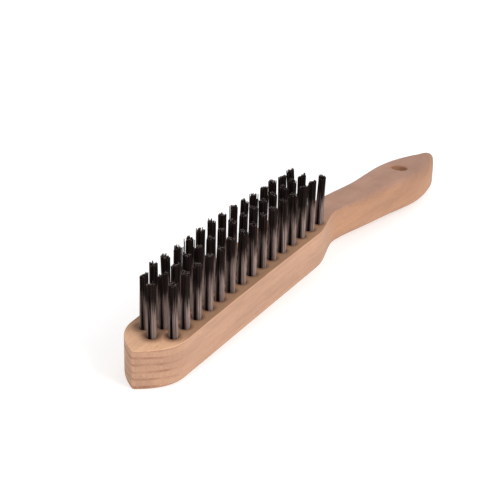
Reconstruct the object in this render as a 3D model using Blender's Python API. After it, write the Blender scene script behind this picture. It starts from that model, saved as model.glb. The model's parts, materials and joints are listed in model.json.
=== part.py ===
"""Hand wire brush: a one-piece wooden body and three staggered rows of wire tufts.

The body is modelled in its own axes: X runs from the tip of the nose to the end of the handle, Y is
across the brush, and Z follows the bristles, with zero on the middle of the drilled face. An empty then
lays the whole brush on its back, resting on the heel of the nose and on the end of the handle, with the
origin at the bottom centre of its bounding box. Units are metres.
"""

import math

import bmesh
import bpy
from mathutils import Matrix, Vector

# Wooden body: outline seen from above
LENGTH = 0.2910
HALF_WIDTH = 0.0138
NOSE_LENGTH = 0.0197
NOSE_TIP_HALF_WIDTH = 0.0007
NOSE_FULLNESS = 2.25
SHOULDER_X = 0.1325
NECK_X = 0.1625
GRIP_HALF_WIDTHS = (0.0079, 0.0103, 0.0118, 0.0139)
BULB_X = 0.2465
TAIL_TIP_HALF_WIDTH = 0.0031
TAIL_FULLNESS = 2.1

# Wooden body: outline seen from the side
BLOCK_THICKNESS = 0.0187
HANDLE_THICKNESS = 0.0179
FACE_CENTRE_X = 0.0814
FACE_CROWN = 0.160
BEND_START_X = 0.1403
BEND_LENGTH = 0.030
HANDLE_SLOPE = 0.139
LIFT_START_X = 0.235
LIFT_LENGTH = 0.020
LIFT_SLOPE = 0.032
THICKNESS_BLEND = (0.146, 0.180)
TAIL_ROUND_LENGTH = 0.012
TAIL_ROUND_SHARE = 0.14

# Wooden body: rounding of the long edges
FACE_EDGE_RADIUS = 0.0005
BACK_EDGE_RADIUS = 0.0021
HANDLE_EDGE_RADIUS = 0.0064
TAIL_EDGE_RADIUS = 0.0032
NOSE_BACK_EDGE_RADIUS = 0.0005
FACE_EDGE_BLEND = (0.150, 0.215)
BACK_EDGE_BLEND = (0.134, 0.186)
TAIL_FACE_EDGE_LENGTH = 0.005
TAIL_BACK_EDGE_LENGTH = 0.026
NOSE_BACK_EDGE_LENGTH = 0.022
LARGEST_RADIUS_SHARE = 0.98

# Hanging hole through the end of the handle
HANG_HOLE_X = 0.2505
HANG_HOLE_RADIUS = 0.0043
HANG_HOLE_SIDES = 24

# Wire tufts and the blind holes that hold them
TUFT_PITCH = 0.0090
ROW_SPACING = 0.0076
FIRST_TUFT_X = 0.0181
FIRST_LEFT_TUFT_INSET = 0.0012
TUFTS_IN_A_ROW = 15
HOLE_RADIUS = 0.00225
HOLE_DEPTH = 0.0130
GAP = 0.0003
CUTTER_CLEARANCE = 0.002
WIRE_LENGTH = 0.0250
TUFT_ROOT_RADIUS = 0.00192
TUFT_TIP_RADIUS = 0.0023
FOLD_THICKNESS = 0.0010
FORK_WIDTH = 0.0009
FORK_HEIGHT = 0.0140
FORK_LENGTH = 0.018
FORK_TAPER = 3
TUFT_SIDES = 12

# How the brush lies on its back
REST_TILT = math.radians(-3.315)
REST_SHIFT = Vector((-0.1463, 0.0, 0.018669))

# Fineness of the loft
CORNER_STEPS = 4
NOSE_STATIONS = 11
NOSE_CROWDING = 1.5
BLOCK_STATIONS = 9
NECK_STATIONS = 17
GRIP_STATIONS = 7
TAIL_STATIONS = 11
TAIL_CROWDING = 1.6


def smooth_step(value, low, high):
    """0 below low, 1 above high, and an S-curve between them."""
    t = min(max((value - low) / (high - low), 0.0), 1.0)
    return t * t * (3 - 2 * t)


def pointed_arch(distance, length, side, tip, fullness):
    """Half width of an arch that leaves a parallel side and narrows to a tip over length."""
    return side - (side - tip) * min(distance / length, 1.0) ** fullness


def smooth_curve(values, t):
    """Smooth curve through equally spaced values, t from 0 to 1."""
    position = t * (len(values) - 1)
    i = min(int(position), len(values) - 2)
    u = position - i
    before, start, end, after = (values[min(max(k, 0), len(values) - 1)] for k in range(i - 1, i + 3))
    leave = (end - before) / 2
    arrive = (after - start) / 2
    bow = 3 * (end - start) - 2 * leave - arrive
    twist = 2 * (start - end) + leave + arrive
    return start + leave * u + bow * u ** 2 + twist * u ** 3


def half_width(x):
    """Half the body's width: pointed nose, parallel block, shoulders, neck, bulb, pointed tail."""
    neck, *_, bulb = GRIP_HALF_WIDTHS
    if x < NOSE_LENGTH:
        return pointed_arch(NOSE_LENGTH - x, NOSE_LENGTH, HALF_WIDTH, NOSE_TIP_HALF_WIDTH, NOSE_FULLNESS)
    if x < NECK_X:
        return HALF_WIDTH - (HALF_WIDTH - neck) * smooth_step(x, SHOULDER_X, NECK_X)
    if x < BULB_X:
        return smooth_curve(GRIP_HALF_WIDTHS, (x - NECK_X) / (BULB_X - NECK_X))
    return pointed_arch(x - BULB_X, LENGTH - BULB_X, bulb, TAIL_TIP_HALF_WIDTH, TAIL_FULLNESS)


def face_height(x):
    """Height of the drilled face, which is slightly crowned along its length."""
    return -FACE_CROWN * (x - FACE_CENTRE_X) ** 2


def bend(x, start, length, slope):
    """Departure from a straight line that bends to a slope over length, starting at start."""
    past = max(x - start, 0.0)
    if past < length:
        return slope * past ** 2 / (2 * length)
    return slope * (past - length / 2)


def handle_drop(x):
    """How far the handle's mid-plane lies behind the block's: it bends back, then lifts a little."""
    back = bend(x, BEND_START_X, BEND_LENGTH, HANDLE_SLOPE)
    return back - bend(x, LIFT_START_X, LIFT_LENGTH, LIFT_SLOPE)


def side_profile(x):
    """Mid-plane height and thickness at x."""
    top = face_height(min(x, THICKNESS_BLEND[0]))
    share = smooth_step(x, *THICKNESS_BLEND)
    thickness = (top + BLOCK_THICKNESS) * (1 - share) + HANDLE_THICKNESS * share
    past = min(max((x - LENGTH) / TAIL_ROUND_LENGTH + 1, 0.0), 1.0)
    thickness *= 1 - TAIL_ROUND_SHARE * (1 - math.sqrt(1 - past ** 2))
    return (top - BLOCK_THICKNESS) / 2 - handle_drop(x), thickness


def edge_radius(x, block_radius, blend, tail_length):
    """Rounding of a long edge: small on the block, large on the handle, small again at the tail."""
    share = smooth_step(x, *blend)
    radius = block_radius * (1 - share) + HANDLE_EDGE_RADIUS * share
    tail = smooth_step(x, LENGTH - tail_length, LENGTH)
    return radius * (1 - tail) + TAIL_EDGE_RADIUS * tail


def section(x):
    """Closed loop of points round the body at x: a rectangle with rounded corners."""
    wide = half_width(x)
    middle, thickness = side_profile(x)
    tall = thickness / 2
    limit = LARGEST_RADIUS_SHARE * min(wide, tall)
    nose = 1 - smooth_step(x, 0.0, NOSE_BACK_EDGE_LENGTH)
    back_radius = BACK_EDGE_RADIUS * (1 - nose) + NOSE_BACK_EDGE_RADIUS * nose
    top_radius = min(edge_radius(x, FACE_EDGE_RADIUS, FACE_EDGE_BLEND, TAIL_FACE_EDGE_LENGTH), limit)
    bottom_radius = min(edge_radius(x, back_radius, BACK_EDGE_BLEND, TAIL_BACK_EDGE_LENGTH), limit)
    corners = (
        (1, 1, top_radius),
        (-1, 1, top_radius),
        (-1, -1, bottom_radius),
        (1, -1, bottom_radius),
    )
    points = []
    for quarter, (side, up, radius) in enumerate(corners):
        centre = Vector((side * (wide - radius), up * (tall - radius)))
        for step in range(CORNER_STEPS + 1):
            angle = math.pi / 2 * (quarter + step / CORNER_STEPS)
            y = centre.x + radius * math.cos(angle)
            z = centre.y + radius * math.sin(angle)
            points.append(Vector((x, y, middle + z)))
    return points


def spread(start, end, count, power=1.0):
    """Count positions from start towards end, closer together near start when power is over 1."""
    return [start + (end - start) * (i / count) ** power for i in range(count)]


def station_positions():
    """Where the loft's sections stand along the body, from the tip of the nose to the tail."""
    positions = spread(0.0, NOSE_LENGTH, NOSE_STATIONS, NOSE_CROWDING)
    positions += spread(NOSE_LENGTH, SHOULDER_X, BLOCK_STATIONS)
    positions += spread(SHOULDER_X, BACK_EDGE_BLEND[1], NECK_STATIONS)
    positions += spread(BACK_EDGE_BLEND[1], BULB_X, GRIP_STATIONS)
    tail = spread(LENGTH, BULB_X, TAIL_STATIONS, TAIL_CROWDING)
    return positions + [BULB_X] + tail[::-1]


def material(name, colour, roughness, metallic):
    """A plain finish for one kind of sub-part."""
    finish = bpy.data.materials.new(name)
    finish.use_nodes = True
    shader = finish.node_tree.nodes["Principled BSDF"]
    shader.inputs["Base Color"].default_value = (*colour, 1.0)
    shader.inputs["Roughness"].default_value = roughness
    shader.inputs["Metallic"].default_value = metallic
    finish.diffuse_color = (*colour, 1.0)
    return finish


def add_object(name, mesh, collection, finish=None):
    """Put a mesh in the scene as an object of its own."""
    thing = bpy.data.objects.new(name, mesh)
    collection.objects.link(thing)
    if finish and not mesh.materials:
        mesh.materials.append(finish)
    return thing


def mesh_from(name, bm):
    """Turn a bmesh into a mesh and free it."""
    mesh = bpy.data.meshes.new(name)
    bm.to_mesh(mesh)
    bm.free()
    return mesh


def make_cutter(thing):
    """Keep an object as a Boolean tool only."""
    thing.hide_render = True
    thing.display_type = "WIRE"
    return thing


def subtract(thing, cutter, name):
    """Cut one object out of another."""
    cut = thing.modifiers.new(name, "BOOLEAN")
    cut.operation = "DIFFERENCE"
    cut.solver = "EXACT"
    cut.object = cutter


def body_mesh():
    """Loft the wooden body through its sections and close both ends."""
    bm = bmesh.new()
    rings = [[bm.verts.new(point) for point in section(x)] for x in station_positions()]
    for near, far in zip(rings, rings[1:]):
        for i in range(len(near)):
            j = (i + 1) % len(near)
            bm.faces.new((near[i], near[j], far[j], far[i]))
    bm.faces.new(rings[0][::-1])
    bm.faces.new(rings[-1])
    bmesh.ops.recalc_face_normals(bm, faces=bm.faces)
    return mesh_from("wooden_body", bm)


def tuft_places():
    """Name, position of the mouth and direction of every tuft, row by row."""
    rows = (
        ("right", -ROW_SPACING, 0.0),
        ("centre", 0.0, -TUFT_PITCH / 2),
        ("left", ROW_SPACING, 0.0),
    )
    places = []
    for row, y, offset in rows:
        for i in range(TUFTS_IN_A_ROW):
            x = FIRST_TUFT_X + offset + i * TUFT_PITCH
            slope = -2 * FACE_CROWN * (x - FACE_CENTRE_X)
            direction = Vector((-slope, 0.0, 1.0)).normalized()
            inset = FIRST_LEFT_TUFT_INSET if row == "left" and i == 0 else 0.0
            mouth = Vector((x, y - inset, face_height(x)))
            places.append((f"tuft_{row}_{i + 1:02d}", mouth, direction))
    return places


def upright(position, direction):
    """Matrix that stands something built along Z on a place, leaning in the XZ plane."""
    lean = Matrix.Rotation(math.atan2(direction.x, direction.z), 4, "Y")
    return Matrix.Translation(position) @ lean


def hole_cutter_mesh():
    """One cylinder for each blind hole, standing from its bottom to clear above the face."""
    middle = Matrix.Translation((0, 0, (CUTTER_CLEARANCE - HOLE_DEPTH) / 2))
    bm = bmesh.new()
    for _, position, direction in tuft_places():
        bmesh.ops.create_cone(
            bm,
            cap_ends=True,
            segments=TUFT_SIDES,
            radius1=HOLE_RADIUS,
            radius2=HOLE_RADIUS,
            depth=HOLE_DEPTH + CUTTER_CLEARANCE,
            matrix=upright(position, direction) @ middle,
        )
    return mesh_from("tuft_hole_cutter", bm)


def hang_hole_cutter_mesh():
    """A cylinder square to the sloping handle, longer than the handle is thick."""
    middle, thickness = side_profile(HANG_HOLE_X)
    place = Matrix.Translation((HANG_HOLE_X, 0.0, middle)) @ Matrix.Rotation(math.atan(HANDLE_SLOPE), 4, "Y")
    bm = bmesh.new()
    bmesh.ops.create_cone(
        bm,
        cap_ends=True,
        segments=HANG_HOLE_SIDES,
        radius1=HANG_HOLE_RADIUS,
        radius2=HANG_HOLE_RADIUS,
        depth=2 * thickness,
        matrix=place,
    )
    return mesh_from("hang_hole_cutter", bm)


def tuft_mesh(parts, cutters):
    """One tuft: wires folded in two, closed at the fold and forked over the anchor above it."""
    root = HOLE_DEPTH - GAP
    bm = bmesh.new()
    bmesh.ops.create_cone(
        bm,
        cap_ends=True,
        segments=TUFT_SIDES,
        radius1=TUFT_ROOT_RADIUS,
        radius2=TUFT_TIP_RADIUS,
        depth=root + WIRE_LENGTH,
        matrix=Matrix.Translation((0, 0, (WIRE_LENGTH - root) / 2)),
    )
    whole = add_object("tuft_blank", mesh_from("tuft_blank", bm), parts)

    low = FOLD_THICKNESS - root
    bm = bmesh.new()
    bmesh.ops.create_cone(
        bm,
        cap_ends=True,
        segments=4,
        radius1=FORK_WIDTH / math.sqrt(2),
        radius2=FORK_WIDTH / (FORK_TAPER * math.sqrt(2)),
        depth=FORK_HEIGHT - low,
        matrix=Matrix.Translation((0, 0, (FORK_HEIGHT + low) / 2)) @ Matrix.Rotation(math.pi / 4, 4, "Z"),
    )
    bmesh.ops.scale(bm, vec=(FORK_LENGTH / FORK_WIDTH, 1.0, 1.0), verts=bm.verts)
    fork = make_cutter(add_object("fork_cutter", mesh_from("fork_cutter", bm), cutters))
    subtract(whole, fork, "fork over the anchor")

    evaluated = whole.evaluated_get(bpy.context.evaluated_depsgraph_get())
    mesh = bpy.data.meshes.new_from_object(evaluated)
    mesh.name = "wire_tuft"
    bpy.data.objects.remove(whole)
    bpy.data.objects.remove(fork)
    return mesh


def add_body(parts, cutters, lying):
    """The wooden body with its blind holes and its hanging hole."""
    beech = material("beech", (0.56, 0.35, 0.20), 0.62, 0.0)
    body = add_object("wooden_body", body_mesh(), parts, beech)
    body.parent = lying
    for name, mesh in (("tuft holes", hole_cutter_mesh()), ("hanging hole", hang_hole_cutter_mesh())):
        cutter = make_cutter(add_object(mesh.name, mesh, cutters))
        cutter.parent = lying
        subtract(body, cutter, name)


def add_tufts(parts, cutters, lying):
    """Every tuft as an object of its own, sharing one mesh."""
    wire = material("steel_wire", (0.12, 0.11, 0.105), 0.42, 0.9)
    mesh = tuft_mesh(parts, cutters)
    for name, position, direction in tuft_places():
        tuft = add_object(name, mesh, parts, wire)
        tuft.parent = lying
        tuft.matrix_local = upright(position, direction)


def main():
    for thing in list(bpy.data.objects):
        bpy.data.objects.remove(thing)
    parts = bpy.data.collections.new("wire_brush")
    cutters = bpy.data.collections.new("cutters")
    for collection in (parts, cutters):
        bpy.context.scene.collection.children.link(collection)

    lying = bpy.data.objects.new("lying_on_its_back", None)
    parts.objects.link(lying)
    lying.location = REST_SHIFT
    lying.rotation_euler.y = REST_TILT

    add_body(parts, cutters, lying)
    add_tufts(parts, cutters, lying)


main()
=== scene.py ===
"""Wooden wire brush in full detail, laid out as a Blender add-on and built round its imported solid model.

The brush has its own axes: X runs from the tip of the nose to the end of the handle, Y is across the brush,
and Z follows the wires, with zero on the middle of the drilled face. Every piece is modelled in those axes
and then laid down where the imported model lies. Units are metres.
"""

import json
import math
import random

import bmesh
import bpy
from bpy.props import FloatProperty, FloatVectorProperty, IntProperty, PointerProperty
from mathutils import Matrix, Vector, noise


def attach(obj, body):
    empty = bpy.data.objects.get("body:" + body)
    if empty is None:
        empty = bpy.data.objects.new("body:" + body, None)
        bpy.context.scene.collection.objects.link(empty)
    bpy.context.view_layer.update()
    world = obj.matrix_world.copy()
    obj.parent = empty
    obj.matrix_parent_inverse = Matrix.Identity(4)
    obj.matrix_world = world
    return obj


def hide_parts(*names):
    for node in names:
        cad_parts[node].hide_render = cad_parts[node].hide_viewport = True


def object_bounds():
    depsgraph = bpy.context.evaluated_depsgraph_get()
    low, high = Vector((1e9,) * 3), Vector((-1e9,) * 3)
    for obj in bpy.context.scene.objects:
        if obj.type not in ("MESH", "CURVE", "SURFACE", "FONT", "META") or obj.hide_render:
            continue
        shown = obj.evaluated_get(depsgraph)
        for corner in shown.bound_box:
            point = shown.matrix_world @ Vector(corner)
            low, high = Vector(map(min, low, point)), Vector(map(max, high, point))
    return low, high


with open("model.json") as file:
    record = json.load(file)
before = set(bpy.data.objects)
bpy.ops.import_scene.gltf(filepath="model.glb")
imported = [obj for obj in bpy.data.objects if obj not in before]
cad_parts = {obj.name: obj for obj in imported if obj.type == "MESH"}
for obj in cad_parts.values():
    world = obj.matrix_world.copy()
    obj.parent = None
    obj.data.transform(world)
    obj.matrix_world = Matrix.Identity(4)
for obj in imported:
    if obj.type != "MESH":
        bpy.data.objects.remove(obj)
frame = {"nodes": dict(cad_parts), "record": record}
CAD_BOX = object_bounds()

bl_info = {
    "name": "Wooden Wire Brush",
    "version": (1, 0, 0),
    "blender": (4, 5, 0),
    "location": "3D View > Sidebar > Wire Brush",
    "description": "Builds a beech wire brush with 45 tufts of folded steel wire round its solid model",
    "category": "Add Mesh",
}

BODY_NODE = "wooden_body"
TUFT_PREFIX = "tuft_"
BACK_FACE_X = 0.075
BLOCK_THICKNESS = 0.0187
CLEARANCE = 0.0003
END_SLICE = 0.0005
MERGE_DISTANCE = 1e-6
SHARP_ANGLE = math.radians(35)
WIRE_SHARP_ANGLE = math.radians(75)

# Fineness of the wooden body: sections along it, and how closely they crowd at its ends
CORNER_STEPS = 8
FLAT_CUTS = 5
RIM_SEGMENTS = 32
NOSE_STATIONS, NOSE_CROWDING = 26, 1.5
BLOCK_STATIONS = 40
NECK_STATIONS = 44
GRIP_STATIONS = 26
TAIL_STATIONS, TAIL_CROWDING = 26, 1.6
LARGEST_RADIUS_SHARE = 0.98

# Unevenness: waves in a metre and strength
EDGE_WAVER = (60, 0.5)
SANDING_WAVES = ((70, 1.0), (260, 0.4))

# How far the cutters reach out of the wood
DRILL_RISE = 0.0015
HANGING_DRILL_RISE = 0.002

# Wires: sections up a leg as shares of its height, and the nest of folds under the anchor
WIRE_SIDES = 6
LEG_PARTS = (0.30, 0.66, 1.0)
STRAY_SHARE = 0.03
STRAY_REACH = 1.25
WANDER_SHARE = 0.3
SHEAR_SLANT = 0.5
SPLAY_RANGE = 0.030
FOLD_ROWS = 3
FOLD_STEP_ALONG = 2.15
FOLD_STEP = 2.1
FOLD_LIFT = 1.4
FOLD_REACH = 0.0004
FOLD_HEIGHT = 0.0018
FOLD_NARROWING = 0.6
# Painted shade beside a tuft's slot: its width, and the span up the tuft over which it fades
SLOT_SHADE_WIDTH = 0.0005
SLOT_SHADE_END = (0.55, 0.85)

# Anchors: where they are cut into lengths, and how their ends are pinched
ANCHOR_REST = 0.0021
ANCHOR_CUTS = (-0.44, -0.30, 0.30, 0.44)
PINCH_START = 0.40
PINCH_SHARE = 0.55
PINCH_RISE = 0.0001

# Stage: the floor's radius and turned-up edge (growth, rise); a lamp's azimuth, elevation, distance, width
FLOOR_RADIUS = 6.0
FLOOR_EDGE = ((1.08, 0.10), (1.12, 0.35), (1.13, 0.80))
KEY_LAMP = (-10, 38, 1.2, 0.5)
FILL_LAMP = (-110, 35, 1.3, 0.9)
SENSOR_WIDTH = 36.0
CLIP_START, CLIP_END = 0.01, 50.0


def brush_axes():
    """Matrix from the brush's own axes to the frame, found from the flat back of the block."""
    back = next(mount for mount in frame["record"]["mounts"] if mount["name"] == "back_face")
    up = -Vector(back["axis"])
    across = Vector((0.0, 1.0, 0.0))
    along = across.cross(up)
    origin = Vector(back["pos_m"]) - BACK_FACE_X * along + BLOCK_THICKNESS * up
    return Matrix.Translation(origin) @ Matrix((along, across, up)).transposed().to_4x4()


TO_FRAME = brush_axes()
TO_BRUSH = TO_FRAME.inverted()


def node_points(name):
    """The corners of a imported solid, in the brush's axes."""
    return [TO_BRUSH @ vertex.co for vertex in frame["nodes"][name].data.vertices]


BODY_POINTS = node_points(BODY_NODE)
BODY_LENGTH = max(point.x for point in BODY_POINTS)
BULB_HALF_WIDTH = max(point.y for point in BODY_POINTS)


# ---- Sizes and colours ----


def size(name, description, default):
    """A length that the sidebar can change."""
    return FloatProperty(name=name, description=description, default=default, unit="LENGTH", precision=5)


def share(name, description, default):
    """A plain number without a unit."""
    return FloatProperty(name=name, description=description, default=default, precision=4)


def angle(name, description, degrees):
    """An angle that the sidebar can change."""
    return FloatProperty(
        name=name, description=description, default=math.radians(degrees), subtype="ANGLE", precision=4
    )


def power(name, description, default):
    """The power of a lamp."""
    return FloatProperty(name=name, description=description, default=default, unit="POWER")


def colour(name, description, default):
    """A colour that the sidebar can change."""
    return FloatVectorProperty(
        name=name, description=description, default=default, subtype="COLOR", min=0.0, max=1.0
    )


class BodySizes(bpy.types.PropertyGroup):
    """Outline, thickness and edge rounding of the wooden body"""

    length: size("Length", "From the tip of the nose to the end of the handle", BODY_LENGTH)
    half_width: size("Block Half Width", "Half the width of the parallel block", 0.0138)
    nose_length: size("Nose Length", "From the tip to the parallel block", 0.0197)
    nose_tip: size("Nose Tip", "Half the width of the blunt tip", 0.0007)
    nose_fullness: share("Nose Fullness", "How round the pointed arch of the nose is", 2.25)
    shoulder_x: size("Shoulder", "Where the block starts to narrow", 0.1325)
    neck_x: size("Neck", "Where the handle is narrowest", 0.1625)
    neck: size("Neck Half Width", "Half the width of the neck", 0.0079)
    grip_start: size("Grip Start", "Half the width a third of the way up the grip", 0.0103)
    grip_middle: size("Grip Middle", "Half the width two thirds of the way up the grip", 0.0118)
    bulb_x: size("Bulb", "Where the handle is widest", 0.2465)
    bulb: size("Bulb Half Width", "Half the width of the bulb", BULB_HALF_WIDTH)
    tail_tip: size("Tail Tip", "Half the width of the blunt end", 0.0031)
    tail_fullness: share("Tail Fullness", "How round the pointed arch of the tail is", 2.1)
    thickness: size("Block Thickness", "From the drilled face to the back", BLOCK_THICKNESS)
    handle_thickness: size("Handle Thickness", "Thickness of the handle", 0.0179)
    crown_x: size("Crown Centre", "Where the drilled face is highest", 0.0814)
    crown: share("Crown", "How fast the drilled face falls away from its highest line", 0.160)
    bend_x: size("Bend", "Where the handle starts to bend back", 0.1403)
    bend_length: size("Bend Length", "Length over which the handle bends", 0.030)
    slope: share("Handle Slope", "How far the handle leans back", 0.139)
    lift_x: size("Lift", "Where the end of the handle starts to lift", 0.235)
    lift_length: size("Lift Length", "Length over which the end lifts", 0.020)
    lift_slope: share("Lift Slope", "How far the end of the handle lifts", 0.032)
    blend_start: size("Blend Start", "Where the block starts to thin to the handle", 0.146)
    blend_end: size("Blend End", "Where the handle's thickness is reached", 0.180)
    face_blend_start: size("Face Rounding Start", "Where the upper edges start to turn round", 0.150)
    face_blend_end: size("Face Rounding End", "Where the upper edges are fully round", 0.215)
    back_blend_start: size("Back Rounding Start", "Where the lower edges start to turn round", 0.134)
    back_blend_end: size("Back Rounding End", "Where the lower edges are fully round", 0.186)
    tail_round: size("Tail Rounding", "Length over which the end thins", 0.012)
    tail_share: share("Tail Share", "Share of the thickness lost at the end", 0.14)
    face_edge: size("Face Edge Radius", "Rounding of the edges of the drilled face", 0.0005)
    back_edge: size("Back Edge Radius", "Rounding of the edges of the back", 0.0021)
    handle_edge: size("Handle Edge Radius", "Rounding of the handle", 0.0064)
    tail_edge: size("Tail Edge Radius", "Rounding of the edges at the tail", 0.0032)
    tail_edge_length: size("Tail Face Edge", "Length over which the upper rounding gets smaller", 0.005)
    tail_back_length: size("Tail Back Edge", "Length over which the lower rounding gets smaller", 0.026)
    nose_back_edge: size("Nose Back Edge", "Rounding of the lower edges at the tip of the nose", 0.0005)
    nose_back_length: size("Nose Back Length", "Length over which that rounding grows", 0.022)
    sanding: size("Sanding", "Depth of the unevenness left by hand sanding", 0.00005)
    hang_hole_x: size("Hanging Hole", "Where the hanging hole is", 0.2505)
    hang_hole: size("Hanging Hole Radius", "Radius of the hanging hole", 0.0043)
    hang_hole_rim: size("Hanging Hole Rim", "Rounding of the rim of the hanging hole", 0.0008)


class BristleSizes(bpy.types.PropertyGroup):
    """The folded wires of a tuft, and the drilled hole that holds them"""

    hole: size("Hole Radius", "Radius of a drilled hole", 0.00225)
    hole_depth: size("Hole Depth", "Depth of a drilled hole", 0.0130)
    hole_chamfer: size("Hole Chamfer", "Width of the crushed edge of a hole", 0.00022)
    wires: IntProperty(name="Wires", description="Wires in a tuft, each folded in two", default=24, min=1)
    wire: size("Wire Radius", "Radius of a wire", 0.0002)
    spacing: size("Wire Spacing", "Distance between wires where they leave the wood", 0.00041)
    slack: size("Slack", "Room between the outermost wires and the wall of the hole", 0.00005)
    slot: size("Slot", "Gap between the two halves of a tuft where they leave the wood", 0.0011)
    slot_height: size("Slot Height", "Height at which the two halves meet", 0.0200)
    slot_closing: share("Slot Closing", "Share of the gap that closes up the tuft", 0.75)
    flare: share("Flare", "How much wider a tuft is at its top than at the wood", 1.05)
    ragged: size("Ragged Length", "How much the wires differ in length", 0.0008)
    longest: size("Longest", "How far a wire may stand above its tuft", 0.0004)
    uneven_halves: size("Uneven Halves", "How much the two halves of a tuft differ in length", 0.0004)
    stray: size("Stray", "How far the tips wander sideways", 0.00016)
    sway: size("Sway", "How far a whole tuft's tips lean aside", 0.00025)
    trim: share("Trim", "How much shorter the wires are cut towards the ends of the block", 0.32)
    trim_x: size("Trim Centre", "Where the wires are longest", 0.070)
    splay: size("Splay", "How far the last tufts of the outer rows lean to and from the handle", 0.0015)
    seed: IntProperty(name="Seed", description="Changes every wire's own lean and length", default=7)


class AnchorSizes(bpy.types.PropertyGroup):
    """The flat wire that pins each tuft down in its hole"""

    length: size("Length", "Length across the hole, with both ends in the wood", 0.0057)
    height: size("Height", "Height on edge", 0.0016)
    thickness: size("Thickness", "Thickness of the flat wire", 0.0004)
    bevel: size("Bevel", "Rounding of the drawn edges", 0.00012)


class Finishes(bpy.types.PropertyGroup):
    """Colours of the wood and the steel"""

    beech: colour("Beech", "Sanded beech", (0.49, 0.28, 0.18))
    beech_face: colour("Drilled Face", "Beech on the drilled face, a little paler", (0.80, 0.475, 0.29))
    # Dust and painted shade of the tufts, mixed into the drilled face close to the holes and behind the nose
    beech_dust_and_shade: colour("Between Tufts", "Dusty beech close to the tufts", (0.21, 0.100, 0.053))
    beech_grip: colour("Grip", "Beech browned on the sides of the handle", (0.435, 0.224, 0.127))
    beech_handled: colour("Handled Beech", "Beech greyed on top of the handle", (0.425, 0.233, 0.162))
    beech_ring: colour("Growth Ring", "Dark line of a growth ring", (0.27, 0.105, 0.060))
    beech_fleck: colour("Fleck", "Short dark fleck in the beech", (0.40, 0.20, 0.10))
    beech_drilled: colour("Drilled Beech", "Cut fibres inside the holes", (0.22, 0.11, 0.055))
    grime: colour("Grime", "Dark dust of worn steel and rust", (0.10, 0.06, 0.04))
    wire: colour("Wire", "Dark drawn wire", (0.165, 0.113, 0.099))
    wire_light: colour("Light Wire", "Wire with more of its scale rubbed off", (0.46, 0.355, 0.32))
    # Painted shade on the upper ends of the wires
    wire_tip_shade: colour("Wire Tip", "Darkened upper end of a wire", (0.011, 0.0065, 0.0055))
    # Painted shade: the wires beside the slot are darkened to stand in for the slot's shadow
    wire_painted_slot_shade: colour("Oiled Wire", "Wire beside the slot, where dark oil collects", (0.008, 0.006, 0.005))
    cut_end: colour("Cut End", "Bright sheared end of a wire", (0.20, 0.17, 0.16))
    anchor: colour("Anchor", "Flat anchor wire", (0.22, 0.21, 0.20))


class StageSettings(bpy.types.PropertyGroup):
    """Floor, light and camera"""

    azimuth: angle("Azimuth", "Turn of the camera round the brush", -61.12)
    elevation: angle("Elevation", "Height of the camera as an angle", 23.98)
    roll: angle("Roll", "Roll of the camera", 3.173)
    distance: size("Distance", "From the camera to the point it looks at", 0.6577)
    aim: FloatVectorProperty(
        name="Aim", description="Point looked at, from the middle of the model",
        default=(-0.0482, 0.0033, 0.0), subtype="XYZ_LENGTH", unit="LENGTH", precision=4,
    )
    lens: FloatProperty(name="Lens", description="Focal length in millimetres", default=105.14)
    floor: colour("Floor", "Colour of the floor", (0.64, 0.64, 0.64))
    floor_glow: share("Floor Glow", "Light that shines up through the floor of the light table", 0.52)
    sky: share("Sky", "Strength of the even light from all round", 0.75)
    key: power("Key", "Power of the main light", 6.0)
    fill: power("Fill", "Power of the fill light", 0.3)


class BrushSettings(bpy.types.PropertyGroup):
    """Everything that can be changed about the brush and its stage"""

    body: PointerProperty(type=BodySizes)
    bristles: PointerProperty(type=BristleSizes)
    anchors: PointerProperty(type=AnchorSizes)
    finishes: PointerProperty(type=Finishes)
    stage: PointerProperty(type=StageSettings)


# ---- Shape of the wooden body ----


def smooth_step(value, low, high):
    """0 below low, 1 above high, and an S-curve between them."""
    t = min(max((value - low) / (high - low), 0.0), 1.0)
    return t * t * (3 - 2 * t)


def pointed_arch(distance, length, side, tip, fullness):
    """Half width of an arch that leaves a parallel side and narrows to a tip over length."""
    return side - (side - tip) * min(distance / length, 1.0) ** fullness


def smooth_curve(values, t):
    """Smooth curve through equally spaced values, t from 0 to 1."""
    position = t * (len(values) - 1)
    i = min(int(position), len(values) - 2)
    u = position - i
    before, start, end, after = (values[min(max(k, 0), len(values) - 1)] for k in range(i - 1, i + 3))
    leave = (end - before) / 2
    arrive = (after - start) / 2
    bow = 3 * (end - start) - 2 * leave - arrive
    twist = 2 * (start - end) + leave + arrive
    return start + leave * u + bow * u ** 2 + twist * u ** 3


def half_width(x, body):
    """Half the body's width: pointed nose, parallel block, shoulders, neck, bulb, pointed tail."""
    if x < body.nose_length:
        distance = body.nose_length - x
        return pointed_arch(distance, body.nose_length, body.half_width, body.nose_tip, body.nose_fullness)
    if x < body.neck_x:
        return body.half_width - (body.half_width - body.neck) * smooth_step(x, body.shoulder_x, body.neck_x)
    if x < body.bulb_x:
        grip = (body.neck, body.grip_start, body.grip_middle, body.bulb)
        return smooth_curve(grip, (x - body.neck_x) / (body.bulb_x - body.neck_x))
    tail = body.length - body.bulb_x
    return pointed_arch(x - body.bulb_x, tail, body.bulb, body.tail_tip, body.tail_fullness)


def face_height(x, body):
    """Height of the drilled face, which is slightly crowned along its length."""
    return -body.crown * (x - body.crown_x) ** 2


def bend(x, start, length, slope):
    """Departure from a straight line that bends to a slope over length, starting at start."""
    past = max(x - start, 0.0)
    if past < length:
        return slope * past ** 2 / (2 * length)
    return slope * (past - length / 2)


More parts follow.
